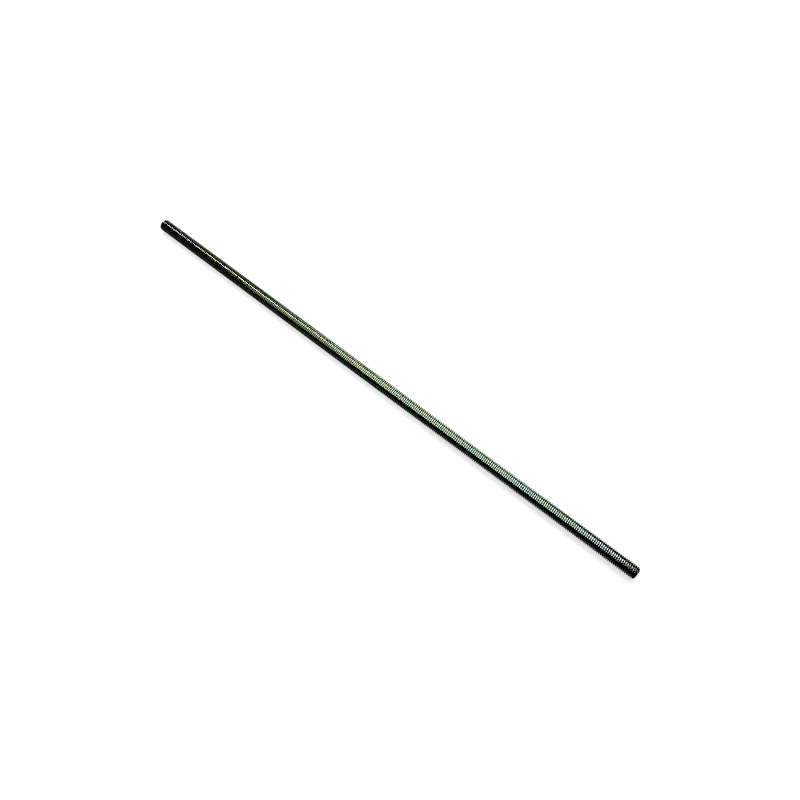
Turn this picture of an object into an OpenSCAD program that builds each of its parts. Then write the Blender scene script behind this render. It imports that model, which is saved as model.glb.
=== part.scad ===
// Fully threaded straight rod, 1/2 in by 24 in with 13 threads to the inch.
// Lengths are in millimetres. The rod lies along X, with the origin at the
// middle of its axis. It is one turned piece, threaded from end to end, and
// both ends are chamfered to below the root of the thread.

/* [Rod] */
// Length over both end faces
rod_len = 609.6; // [100:0.1:1000]

/* [Thread] */
// Major diameter, over the crests
major_d = 12.7; // [10:0.1:20]
// Threads in one inch of length
threads_per_inch = 13; // [9:0.5:20]
// Angle between the two flanks of a groove
flank_angle = 60; // [50:1:65]

/* [Ends] */
// Radial depth of the chamfer at each end
chamfer_depth = 1.45; // [0.6:0.05:2.5]
// Angle between the chamfer and the rod's axis
chamfer_angle = 45; // [30:1:60]

/* [Hidden] */

inch = 25.4;
round_fn = 96;

// The thread, by the proportions of the unified inch series: H is the height
// of the sharp triangle on one pitch, cut off by an eighth at the crest.
pitch = inch / threads_per_inch;
sharp_height = pitch / 2 / tan(flank_angle / 2);
crest_flat = pitch / 8;
thread_depth = sharp_height * 17 / 24;

major_r = major_d / 2;
minor_r = major_r - thread_depth;
flank_run = thread_depth * tan(flank_angle / 2);

// Whole turns on each side of the middle, with one to spare past each end
half_turns = ceil(rod_len / 2 / pitch) + 1;

half_len = rod_len / 2;
chamfer_len = chamfer_depth / tan(chamfer_angle);
end_r = major_r - chamfer_depth;

// One ridge of the thread, as points of [place along the rod, radius]
function ridge(x) = [
    [x - crest_flat / 2 - flank_run, minor_r],
    [x - crest_flat / 2, major_r],
    [x + crest_flat / 2, major_r],
    [x + crest_flat / 2 + flank_run, minor_r]
];

// Half the rod's lengthwise section, uncut at the ends
function thread_outline() = concat(
    [[-half_turns * pitch - pitch / 2, 0]],
    [for (turn = [-half_turns:half_turns], point = ridge(turn * pitch)) point],
    [[half_turns * pitch + pitch / 2, 0]]
);

// Half the section of the plain bar that the ends are cut to
function bar_outline() = [
    [-half_len, 0],
    [-half_len, end_r],
    [-half_len + chamfer_len, major_r],
    [half_len - chamfer_len, major_r],
    [half_len, end_r],
    [half_len, 0]
];

// A section drawn as [along, radius], turned round so that it can be revolved
module revolved_along_x() {
    rotate([0, 90, 0])
        rotate_extrude($fn = round_fn)
            rotate([0, 0, 90])
                mirror([0, 1, 0])
                    children();
}

module threaded_rod() {
    color([0.3, 0.33, 0.27])
        revolved_along_x()
            intersection() {
                polygon(thread_outline());
                polygon(bar_outline());
            }
}

threaded_rod();
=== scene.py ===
# Looks of a fully threaded rod, in metres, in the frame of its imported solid.
# The rod lies along X with its middle at the origin, on a pale floor.
import math

import bmesh
import bpy
import numpy as np
from mathutils import Matrix, Vector


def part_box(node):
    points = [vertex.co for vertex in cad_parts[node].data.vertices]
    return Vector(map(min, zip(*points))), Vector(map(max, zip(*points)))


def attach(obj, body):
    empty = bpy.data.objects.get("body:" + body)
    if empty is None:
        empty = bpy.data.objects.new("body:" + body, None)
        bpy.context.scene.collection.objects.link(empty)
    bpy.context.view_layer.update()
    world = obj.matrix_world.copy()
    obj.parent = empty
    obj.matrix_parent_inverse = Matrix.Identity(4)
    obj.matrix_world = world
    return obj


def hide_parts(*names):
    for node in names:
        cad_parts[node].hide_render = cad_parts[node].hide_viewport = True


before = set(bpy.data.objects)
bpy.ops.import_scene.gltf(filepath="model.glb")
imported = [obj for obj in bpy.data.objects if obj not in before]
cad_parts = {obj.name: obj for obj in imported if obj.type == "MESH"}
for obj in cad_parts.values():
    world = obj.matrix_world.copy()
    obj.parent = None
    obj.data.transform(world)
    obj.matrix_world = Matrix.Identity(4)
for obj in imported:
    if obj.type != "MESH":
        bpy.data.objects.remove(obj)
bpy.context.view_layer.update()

NODE = "threaded_rod"
INCH = 0.0254

# The rod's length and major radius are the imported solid's own.
low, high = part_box(NODE)
HALF_LEN = (high.x - low.x) / 2
MAJOR_R = (high.z - low.z) / 2

# The thread, by the proportions of the unified inch series, with its root rounded
THREADS_PER_INCH = 13
PITCH = INCH / THREADS_PER_INCH
FLANK_HALF_ANGLE = math.radians(30)
SHARP_HEIGHT = PITCH / 2 / math.tan(FLANK_HALF_ANGLE)
THREAD_DEPTH = SHARP_HEIGHT * 17 / 24
CREST_HALF = PITCH / 16
ROOT_R = SHARP_HEIGHT / 6
ROOT_CENTRE_R = MAJOR_R - THREAD_DEPTH + ROOT_R
MINOR_R = ROOT_CENTRE_R - ROOT_R
ROOT_POINTS = 4
SIDES = 48
SPARE_TURNS = 2

# The ends, cut square and chamfered at 45 degrees to below the root. The edge of each
# face is broken: BREAK_MIDDLE is how far in and down from that edge the break's middle is.
CHAMFER_DEPTH = 0.00145
END_BREAK = 0.00012
BREAK_MIDDLE = (END_BREAK / 3, END_BREAK / 4)
BLANK_SIDES = 72
BLANK_FLARE = 0.003
SHARP_ANGLE = math.radians(45)

# The flat map of the rod's surface
STRIPS = 4
STRIP_MARGIN = 0.02
STRIP_SHARE = 0.87

# The camera, which looks down on the rod
LENS_MM = 29.25
SENSOR_MM = 36
CAMERA_AZIMUTH = math.radians(38.82)
CAMERA_ELEVATION = math.radians(66.95)
CAMERA_DISTANCE = 0.6533
AIM_RIGHT = 0.02676
AIM_UP = -0.02098

# Narrow enough to keep thread lines apart that are two pixels wide in the picture
PIXEL_FILTER = 1.4


def add_object(name, data):
    piece = bpy.data.objects.new(name, data)
    bpy.context.scene.collection.objects.link(piece)
    return piece


def new_object(name, points, faces):
    mesh = bpy.data.meshes.new(name)
    mesh.from_pydata(points.tolist(), [], faces)
    return add_object(name, mesh)


def thread_profile():
    """The thread's outline over one pitch, as (place from the crest's middle, radius)."""
    crest = [(-CREST_HALF, MAJOR_R), (CREST_HALF, MAJOR_R)]
    reach = math.pi / 2 - FLANK_HALF_ANGLE
    root = [
        (PITCH / 2 + ROOT_R * math.sin(a), ROOT_CENTRE_R - ROOT_R * math.cos(a))
        for a in np.linspace(-reach, reach, ROOT_POINTS)
    ]
    return np.array(crest + root)


def helix_grid():
    """The points and faces of a right-hand thread that runs past both ends of the rod."""
    profile = thread_profile()
    per_turn = len(profile)
    turns = math.ceil(HALF_LEN / PITCH) + SPARE_TURNS
    turn = np.repeat(np.arange(-turns, turns), per_turn)
    along = turn * PITCH + np.tile(profile[:, 0], 2 * turns)
    radius = np.tile(profile[:, 1], 2 * turns)

    share = np.arange(SIDES)[:, None] / SIDES
    angle = 2 * math.pi * share
    x = along[None, :] + PITCH * share
    y = radius[None, :] * np.cos(angle)
    z = radius[None, :] * np.sin(angle)
    points = np.stack([x, y, z], -1).reshape(-1, 3)

    # Each side joins the next, and the last joins the first one turn further on.
    index = np.arange(SIDES * len(along)).reshape(SIDES, -1)
    here = index[:, :-per_turn]
    beside = np.concatenate([index[1:, :-per_turn], index[:1, per_turn:]])
    quads = np.stack([here[:, :-1], beside[:, :-1], beside[:, 1:], here[:, 1:]], -1)
    return points, quads.reshape(-1, 4)


def close_with_fans(mesh):
    """Closes the open edge round each end with triangles to a point on the axis."""
    bm = bmesh.new()
    bm.from_mesh(mesh)
    bmesh.ops.delete(bm, geom=[v for v in bm.verts if not v.link_faces], context="VERTS")
    reach = max(v.co.x for v in bm.verts) + PITCH
    hubs = {side: bm.verts.new((side * reach, 0, 0)) for side in (-1, 1)}
    for loop in [e.link_loops[0] for e in bm.edges if e.is_boundary]:
        start, end = loop.vert, loop.link_loop_next.vert
        hub = hubs[1 if start.co.x > 0 else -1]
        bm.faces.new((end, start, hub))
    bm.to_mesh(mesh)
    bm.free()


def blank():
    """The form that the thread is cut to: its chamfers flare out past the thread."""
    end_r = MAJOR_R - CHAMFER_DEPTH
    half = [
        (HALF_LEN, end_r - END_BREAK),
        (HALF_LEN - BREAK_MIDDLE[0], end_r - BREAK_MIDDLE[1]),
        (HALF_LEN - END_BREAK, end_r + END_BREAK),
        (HALF_LEN - BLANK_FLARE, end_r + BLANK_FLARE),
    ]
    outline = half + [(-x, r) for x, r in reversed(half)]
    bm = bmesh.new()
    angles = [2 * math.pi * i / BLANK_SIDES for i in range(BLANK_SIDES)]
    rings = []
    for x, r in outline:
        rings.append([bm.verts.new((x, r * math.cos(a), r * math.sin(a))) for a in angles])
    for ring, after in zip(rings, rings[1:]):
        for i in range(BLANK_SIDES):
            k = (i + 1) % BLANK_SIDES
            bm.faces.new((ring[i], ring[k], after[k], after[i]))
    bm.faces.new(list(reversed(rings[0])))
    bm.faces.new(rings[-1])
    bmesh.ops.recalc_face_normals(bm, faces=bm.faces)
    mesh = bpy.data.meshes.new("blank")
    bm.to_mesh(mesh)
    bm.free()
    return add_object("blank", mesh)


def settle(piece):
    """Applies a piece's modifiers to its mesh."""
    graph = bpy.context.evaluated_depsgraph_get()
    piece.data = bpy.data.meshes.new_from_object(piece.evaluated_get(graph))
    piece.modifiers.clear()


def make_rod():
    """The thread, closed and cut to the length and the chamfers of the rod."""
    points, quads = helix_grid()
    rod = new_object("threaded_rod_helix", points, quads.tolist())
    close_with_fans(rod.data)
    form = blank()
    cut = rod.modifiers.new("cut", "BOOLEAN")
    cut.operation = "INTERSECT"
    cut.solver = "MANIFOLD"
    cut.object = form
    settle(rod)
    rod.data.materials.clear()
    bpy.data.objects.remove(form)
    return rod


def smooth(piece):
    """Smooth shading, with the edges between flat and conical faces kept sharp."""
    bm = bmesh.new()
    bm.from_mesh(piece.data)
    for face in bm.faces:
        face.smooth = True
    for edge in bm.edges:
        edge.smooth = edge.calc_face_angle(0) < SHARP_ANGLE
    bm.to_mesh(piece.data)
    bm.free()
    weighted = piece.modifiers.new("weighted", "WEIGHTED_NORMAL")
    weighted.keep_sharp = True


def item_values(items, name, width=1, kind=float):
    """One property of all the items of a mesh: a row for each, or a flat array if width is 1."""
    values = np.empty(len(items) * width, kind)
    items.foreach_get(name, values)
    return values.reshape(-1, width) if width > 1 else values


def unroll(piece):
    """A map of the rod rolled out flat in STRIPS rows, each a stretch of its length. The two
    end faces lie beside the rows, one a quarter and one three quarters of the way up."""
    mesh = piece.data
    points = item_values(mesh.vertices, "co", 3)
    vertex = item_values(mesh.loops, "vertex_index", kind=int)
    sizes = item_values(mesh.polygons, "loop_total", kind=int)
    centres = np.repeat(item_values(mesh.polygons, "center", 3), sizes, axis=0)
    x, y, z = points[vertex].T
    centre_x, centre_y, centre_z = centres.T

    stretch = 2 * HALF_LEN / STRIPS
    row = np.clip(np.floor((centre_x + HALF_LEN) / stretch), 0, STRIPS - 1)
    middle = np.arctan2(centre_z, centre_y)
    turn = np.arctan2(z, y) - middle
    turn = middle + (turn + math.pi) % (2 * math.pi) - math.pi
    scale = STRIP_SHARE / stretch
    u = STRIP_MARGIN + (x + HALF_LEN - row * stretch) * scale
    v = (row + 0.5) / STRIPS + turn * MAJOR_R * scale

    end = np.abs(centre_x) > HALF_LEN - END_BREAK / 2
    disc = (np.sign(centre_x) + 2) / 4
    u = np.where(end, 1 - MAJOR_R * scale + y * scale, u)
    v = np.where(end, disc + z * scale, v)
    layer = mesh.uv_layers.new(name="OFBake")
    layer.data.foreach_set("uv", np.stack([u, v], -1).ravel())


def grey(level):
    return (level, level, level, 1)


class Nodes:
    """A short way to add and link a material's nodes."""

    def __init__(self, tree):
        self.tree = tree

    def add(self, kind, **settings):
        node = self.tree.nodes.new("ShaderNode" + kind)
        for name, value in settings.items():
            setattr(node, name, value)
        return node

    def link(self, output, socket):
        self.tree.links.new(output, socket)

    def value_of(self, value, socket):
        if isinstance(value, (int, float)):
            socket.default_value = value
        else:
            self.link(value, socket)

    def math(self, operation, a, b=0.0):
        node = self.add("Math", operation=operation)
        self.value_of(a, node.inputs[0])
        self.value_of(b, node.inputs[1])
        return node.outputs[0]

    def times(self, a, b):
        return self.math("MULTIPLY", a, b)

    def spread(self, value, start, end, low=0.0, high=1.0):
        """value, mapped from start..end to low..high and held there."""
        node = self.add("MapRange")
        self.value_of(value, node.inputs["Value"])
        node.inputs["From Min"].default_value = start
        node.inputs["From Max"].default_value = end
        node.inputs["To Min"].default_value = low
        node.inputs["To Max"].default_value = high
        return node.outputs["Result"]

    def noise(self, place, scale, detail):
        node = self.add("TexNoise")
        self.link(place, node.inputs["Vector"])
        node.inputs["Scale"].default_value = scale
        node.inputs["Detail"].default_value = detail
        return node.outputs["Fac"]

    def stretched(self, place, scale):
        node = self.add("Mapping")
        self.link(place, node.inputs["Vector"])
        node.inputs["Scale"].default_value = scale
        return node.outputs["Vector"]

    def ramp(self, value, stops):
        node = self.add("ValToRGB")
        self.link(value, node.inputs["Fac"])
        elements = node.color_ramp.elements
        while len(elements) < len(stops):
            elements.new(0.5)
        for element, (place, colour) in zip(elements, stops):
            element.position = place
            element.color = (*colour, 1)
        return node.outputs["Color"]

    def blend(self, factor, a, b):
        """a where factor is 0 and b where it is 1."""
        node = self.add("Mix", data_type="FLOAT")
        self.value_of(factor, node.inputs["Factor"])
        self.value_of(a, node.inputs["A"])
        self.value_of(b, node.inputs["B"])
        return node.outputs["Result"]

    def scaled(self, colour, value):
        node = self.add("VectorMath", operation="SCALE")
        self.link(colour, node.inputs["Vector"])
        self.link(value, node.inputs["Scale"])
        return node.outputs["Vector"]

    def mix(self, factor, a, b, blend="MIX"):
        """Colour a where factor is 0 and colour b where it is 1."""
        node = self.add("Mix", data_type="RGBA", blend_type=blend)
        self.value_of(factor, node.inputs["Factor"])
        sockets = [socket for socket in node.inputs if socket.type == "RGBA"]
        for colour, socket in zip((a, b), sockets):
            if isinstance(colour, tuple):
                socket.default_value = (*colour, 1)
            else:
                self.link(colour, socket)
        return next(socket for socket in node.outputs if socket.type == "RGBA")

    def tinted(self, colour, tint):
        return self.mix(1.0, colour, tint, "MULTIPLY")


def new_material(name):
    material = bpy.data.materials.new(name)
    material.use_nodes = True
    return material, Nodes(material.node_tree)


# The finish is dark on the flanks and in the roots, which is painted shade of the grooves, and
# bright plate on the crests.
# The flanks' painted shade is darkest at the far end, and darker again at the near end.
CREST_SHINE = (0.90, 1.00)
PAINTED_SHADE_FLANK_SHINE = (0.010, 0.120)
PAINTED_SHADE_FLANK_REACH = (-0.21, 0.00)
NEAR_END_SHADE_REACH = (0.235, 0.275)
NEAR_END_SHADE_SHARE = 0.35
ROOT_SHADE_SHINE = 1.2
CREST_FADE = (MAJOR_R - 0.000028, MAJOR_R - 0.000016)
ROOT_FADE = (MINOR_R + 0.00004, MINOR_R + 0.00022)
GRAZING_TINT = 0.05
CREST_ROUGHNESS = (0.09, 0.14)
FLANK_ROUGHNESS = 0.17

# One side is darker than the rest: painted shade. Angles are round the axis, from the -Y horizon
# over the top, and the edges are angles from the middle of the painted shade side.
PAINTED_SHADE_SIDE = math.radians(-10)
PAINTED_SHADE_SIDE_EDGE = (math.radians(77), math.radians(50))
PAINTED_SHADE_SIDE_SHARE = 0.12

# Tints of the finish along the rod, as (place along it, colour)
TINTS = [
    (-0.30, (1.00, 1.00, 0.97)),
    (-0.20, (0.94, 1.00, 0.67)),
    (-0.08, (0.87, 1.00, 0.63)),
    (0.06, (0.86, 1.00, 0.74)),
    (0.18, (0.74, 1.00, 0.73)),
    (0.30, (0.88, 1.00, 0.92)),
]
# Painted sheen: a bluer tint low on the front of the near half, measured from the painted shade
# side.
LOWER_PAINTED_SHEEN = (0.92, 0.96, 1.26)
LOWER_SHEEN_REACH = (0.02, 0.15)
LOWER_SHEEN_EDGE = (math.radians(104), math.radians(66))
PATCH_TINTS = ((1.10, 1.00, 0.83), (0.88, 1.00, 1.12))
PATCH_SHARE = 0.6
FLANK_TINT = (0.70, 1.00, 0.80)

# Noise in the finish, as (scale, detail), and the part of its values that is used
WEAR_NOISE = (140.0, 3.0)
RUB_NOISE = (420.0, 2.0)
SAW_NOISE = (700.0, 3.0)
NOISE_SPAN = (0.3, 0.7)
SAW_STRETCH = (1, 9, 1)
PATCH_NOISE = (70.0, 3.0)
PATCH_SPAN = (0.35, 0.65)

# Rolling marks, drawn out round the thread, and pits
MARK_NOISE = (6000.0, 2.0)
MARK_TURN = 0.0004
PIT_NOISE = (1800.0, 3.0)
PIT_SPAN = (0.30, 0.42)
BUMP_STRENGTH = 0.15
BUMP_HEIGHT = 0.00001

# Two nicks in the plate where bare steel shows, as (place along the rod, angle round it)
NICKS = [(-0.0975, math.radians(123)), (-0.0650, math.radians(121))]
NICK_R = 0.0008
NICK_FULL_R = NICK_R * 0.8
NICK_SHINE = 0.85
NICK_ROUGHNESS = 0.5
BARE_STEEL = (1.0, 1.0, 0.97)

# The end faces are sawn, and keep a plain grey plate.
END_FADE = (HALF_LEN - 0.00006, HALF_LEN - 0.00003)
END_SHINE = (0.26, 0.40)
END_ROUGHNESS = 0.38
END_TINT = (0.94, 1.00, 0.90)


class RodPlaces:
    """Where a point of the rod is: along it, out from its axis and round it."""

    def __init__(self, nodes):
        self.place = nodes.add("TexCoord").outputs["Object"]
        parts = nodes.add("SeparateXYZ")
        nodes.link(self.place, parts.inputs[0])
        self.x, self.y, self.z = parts.outputs
        squares = [nodes.times(side, side) for side in (self.y, self.z)]
        self.radius = nodes.math("SQRT", nodes.math("ADD", *squares))
        self.angle = nodes.math("ARCTAN2", self.z, nodes.times(self.y, -1.0))
        self.share = nodes.spread(self.x, -HALF_LEN, HALF_LEN)
        self.crest = nodes.spread(self.radius, *CREST_FADE)
        self.end = nodes.spread(nodes.math("ABSOLUTE", self.x), *END_FADE)


def by_side(nodes, places, edges, low=0.0, high=1.0):
    """low further from the middle of the painted shade side than the first edge, and high nearer
    to it than the second."""
    across = nodes.times(places.y, -math.cos(PAINTED_SHADE_SIDE))
    upward = nodes.times(places.z, math.sin(PAINTED_SHADE_SIDE))
    nearness = nodes.math("DIVIDE", nodes.math("ADD", across, upward), places.radius)
    return nodes.spread(nearness, *[math.cos(edge) for edge in edges], low, high)


def nick_mask(nodes, places):
    """1 inside a nick and 0 outside it."""
    mask = 0.0
    for x, angle in NICKS:
        centre = (x, -MAJOR_R * math.cos(angle), MAJOR_R * math.sin(angle))
        distance = nodes.add("VectorMath", operation="DISTANCE")
        nodes.link(places.place, distance.inputs[0])
        distance.inputs[1].default_value = centre
        spot = nodes.spread(distance.outputs["Value"], NICK_R, NICK_FULL_R)
        mask = nodes.math("MAXIMUM", spot, mask)
    return mask


def finish_shine(nodes, places, nicks):
    """How much light the finish reflects: most on the crests, little in the grooves, and less of
    both on one side. The grooves' darkness and the darker side are painted shade."""
    # Painted shade in the grooves: the flanks and roots reflect little, least at the far end and
    # less again at the near end.
    near_end_shade = nodes.spread(places.x, *NEAR_END_SHADE_REACH, 1.0, NEAR_END_SHADE_SHARE)
    flank_shade = nodes.times(nodes.spread(places.x, *PAINTED_SHADE_FLANK_REACH, *PAINTED_SHADE_FLANK_SHINE), near_end_shade)
    groove_shade = nodes.times(flank_shade, nodes.spread(places.radius, *ROOT_FADE, ROOT_SHADE_SHINE, 1.0))
    wear = nodes.spread(nodes.noise(places.place, *WEAR_NOISE), *NOISE_SPAN, *CREST_SHINE)
    # Painted shade: one side reflects less, as if it lay in shade.
    side = by_side(nodes, places, PAINTED_SHADE_SIDE_EDGE, 1.0, PAINTED_SHADE_SIDE_SHARE)
    shine = nodes.times(nodes.blend(places.crest, groove_shade, wear), side)
    bare = nodes.times(nicks, NICK_SHINE)
    saw_marks = nodes.noise(nodes.stretched(places.place, SAW_STRETCH), *SAW_NOISE)
    end = nodes.spread(saw_marks, *NOISE_SPAN, *END_SHINE)
    return nodes.blend(places.end, nodes.math("MAXIMUM", shine, bare), end)


def finish_tint(nodes, places):
    """The passivation's colour: olive to teal along the rod, in soft patches, and bluer low
    on the front of the near half, which is a painted sheen."""
    stops = [((x + HALF_LEN) / (2 * HALF_LEN), tint) for x, tint in TINTS]
    along = nodes.ramp(places.share, stops)
    patches = nodes.spread(nodes.noise(places.place, *PATCH_NOISE), *PATCH_SPAN)
    patch = nodes.mix(patches, *PATCH_TINTS)
    tint = nodes.mix(PATCH_SHARE, along, nodes.tinted(along, patch))
    lower_sheen = by_side(nodes, places, LOWER_SHEEN_EDGE)
    onward = nodes.spread(places.x, *LOWER_SHEEN_REACH)
    return nodes.mix(nodes.times(lower_sheen, onward), tint, nodes.tinted(tint, LOWER_PAINTED_SHEEN))


def finish_bump(nodes, places):
    """Fine rolling marks that run round the thread, with small pits."""
    along_thread = nodes.add("CombineXYZ")
    turn = nodes.times(places.angle, MARK_TURN)
    for part, socket in zip((places.x, places.radius, turn), along_thread.inputs):
        nodes.link(part, socket)
    marks = nodes.noise(along_thread.outputs[0], *MARK_NOISE)
    pits = nodes.spread(nodes.noise(places.place, *PIT_NOISE), *PIT_SPAN, -1.0, 0.0)
    bump = nodes.add("Bump")
    bump.inputs["Strength"].default_value = BUMP_STRENGTH
    bump.inputs["Distance"].default_value = BUMP_HEIGHT
    nodes.link(nodes.math("ADD", marks, pits), bump.inputs["Height"])
    return bump.outputs["Normal"]


def zinc():
    """A passivated plate, bright on the crests, with painted shade that darkens the grooves and
    one side.
    """
    material, nodes = new_material("zinc")
    shader = nodes.tree.nodes["Principled BSDF"]
    places = RodPlaces(nodes)
    nicks = nick_mask(nodes, places)
    shine = finish_shine(nodes, places, nicks)
    tint = finish_tint(nodes, places)
    tint = nodes.mix(places.crest, nodes.tinted(tint, FLANK_TINT), tint)
    tint = nodes.mix(nicks, tint, BARE_STEEL)
    tint = nodes.mix(places.end, tint, END_TINT)
    nodes.link(nodes.scaled(tint, shine), shader.inputs["Base Color"])
    rubbed = nodes.spread(nodes.noise(places.place, *RUB_NOISE), *NOISE_SPAN, *CREST_ROUGHNESS)
    rough = nodes.blend(places.crest, FLANK_ROUGHNESS, rubbed)
    rough = nodes.blend(nicks, rough, NICK_ROUGHNESS)
    nodes.link(nodes.blend(places.end, rough, END_ROUGHNESS), shader.inputs["Roughness"])
    nodes.link(finish_bump(nodes, places), shader.inputs["Normal"])
    shader.inputs["Metallic"].default_value = 1.0
    shader.inputs["Specular Tint"].default_value = grey(GRAZING_TINT)
    return material


# The floor glows less under the rod than far off. Mirrors see a white backdrop up to just
# above the horizon, and a dim studio over it.
FLOOR_HALF = 6.0
FLOOR_COLOUR = 0.50
FLOOR_GLOW = 0.58
FLOOR_GLOW_REACH = (0.6, 3.0)
STUDIO_DARK = 0.012
BACKDROP_TOP = math.sin(math.radians(1))
BACKDROP_FADE = 0.05


def ray_masks(nodes):
    """1 on rays from the camera, and 1 on rays mirrored or sent on by gloss or glass. Both
    are 0 on the rays that light things."""
    path = nodes.add("LightPath").outputs
    mirrored = nodes.math("MAXIMUM", path["Is Glossy Ray"], path["Is Transmission Ray"])
    return path["Is Camera Ray"], mirrored


def make_floor():
    """A wide pale floor under the rod. Its glow is seen, but lights nothing."""
    corners = [(x, y, 0) for x, y in ((-1, -1), (1, -1), (1, 1), (-1, 1))]
    floor = new_object("floor", np.array(corners) * FLOOR_HALF, [(0, 1, 2, 3)])
    floor.location.z = -MAJOR_R
    material, nodes = new_material("floor_white")
    tree = nodes.tree
    tree.nodes.remove(tree.nodes["Principled BSDF"])
    diffuse = nodes.add("BsdfDiffuse")
    diffuse.inputs["Color"].default_value = grey(FLOOR_COLOUR)
    glow = nodes.add("Emission")
    length = nodes.add("VectorMath", operation="LENGTH")
    nodes.link(nodes.add("TexCoord").outputs["Object"], length.inputs[0])
    strength = nodes.spread(length.outputs["Value"], *FLOOR_GLOW_REACH, FLOOR_GLOW, 1.0)
    seen = nodes.math("MAXIMUM", *ray_masks(nodes))
    nodes.link(nodes.times(seen, strength), glow.inputs["Strength"])
    both = nodes.add("AddShader")
    nodes.link(diffuse.outputs[0], both.inputs[0])
    nodes.link(glow.outputs[0], both.inputs[1])
    nodes.link(both.outputs[0], tree.nodes["Material Output"].inputs["Surface"])
    floor.data.materials.append(material)


def make_world():
    """The studio and its backdrop. The camera sees white all round."""
    world = bpy.data.worlds.new("studio")
    bpy.context.scene.world = world
    world.use_nodes = True
    nodes = Nodes(world.node_tree)
    background = nodes.tree.nodes["Background"]
    parts = nodes.add("SeparateXYZ")
    nodes.link(nodes.add("TexCoord").outputs["Generated"], parts.inputs[0])
    fade = (BACKDROP_TOP, BACKDROP_TOP + BACKDROP_FADE)
    backdrop = nodes.spread(parts.outputs["Z"], *fade, 1.0, 0.0)
    camera, mirrored = ray_masks(nodes)
    shown = nodes.math("MAXIMUM", camera, nodes.times(mirrored, backdrop))
    nodes.link(nodes.math("MAXIMUM", shown, STUDIO_DARK), background.inputs["Strength"])
    background.inputs["Color"].default_value = grey(1)


# The softboxes, as (name, bearings of their long edges, reach along X, radiance). Bearings
# are in degrees round the rod's axis, from the -Y horizon, over the top, to the +Y horizon.
LAMP_DISTANCE = 3.0
LAMPS = [
    ("far_strip", (103, 113), (-3.4, -2.2), 8.8),
    ("near_strip", (101, 119), (-2.2, -1.5), 8.3),
    ("back_bank", (97, 138), (-1.5, 0.81), 4.2),
    ("edge_bank", (138, 148), (-1.0, 0.5), 0.6),
    ("horizon_bank", (164, 178), (-1.65, 0.25), 4.0),
    ("far_top_bank", (54, 97), (-1.95, -1.15), 1.2),
    ("top_bank", (60, 87), (-1.15, 0.35), 4.1),
    ("near_top_bank", (66, 87), (0.35, 0.72), 4.1),
]


def add_softbox(name, bearings, reach, radiance):
    """A rectangular lamp that faces the rod."""
    middle = math.radians(sum(bearings) / 2)
    half_angle = math.radians(bearings[1] - bearings[0]) / 2
    lamp = bpy.data.lights.new(name, "AREA")
    lamp.shape = "RECTANGLE"
    lamp.size = reach[1] - reach[0]
    lamp.size_y = 2 * LAMP_DISTANCE * math.tan(half_angle)
    lamp.energy = radiance * math.pi * lamp.size * lamp.size_y
    outward = Vector((0, -math.cos(middle), math.sin(middle)))
    along = Vector((1, 0, 0))
    turn = Matrix((along, outward.cross(along), outward)).transposed().to_4x4()
    place = outward * LAMP_DISTANCE + along * sum(reach) / 2
    holder = add_object(name, lamp)
    holder.matrix_world = Matrix.Translation(place) @ turn
    holder.visible_camera = False


def make_camera():
    data = bpy.data.cameras.new("camera")
    data.lens = LENS_MM
    data.sensor_width = SENSOR_MM
    camera = add_object("camera", data)
    a, e = CAMERA_AZIMUTH, CAMERA_ELEVATION
    right = Vector((math.cos(a), math.sin(a), 0))
    back = Vector((math.sin(a) * math.cos(e), -math.cos(a) * math.cos(e), math.sin(e)))
    up = back.cross(right)
    turn = Matrix((right, up, back)).transposed().to_4x4()
    aim = AIM_RIGHT * right + AIM_UP * up
    camera.matrix_world = Matrix.Translation(aim + CAMERA_DISTANCE * back) @ turn
    bpy.context.scene.camera = camera


rod = make_rod()
smooth(rod)
unroll(rod)
rod.data.materials.append(zinc())
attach(rod, "root")
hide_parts(NODE)

make_floor()
make_world()
for name, bearings, reach, radiance in LAMPS:
    add_softbox(name, bearings, reach, radiance)
make_camera()

scene = bpy.context.scene
scene.view_settings.view_transform = "Standard"
scene.cycles.use_denoising = False
scene.cycles.filter_width = PIXEL_FILTER
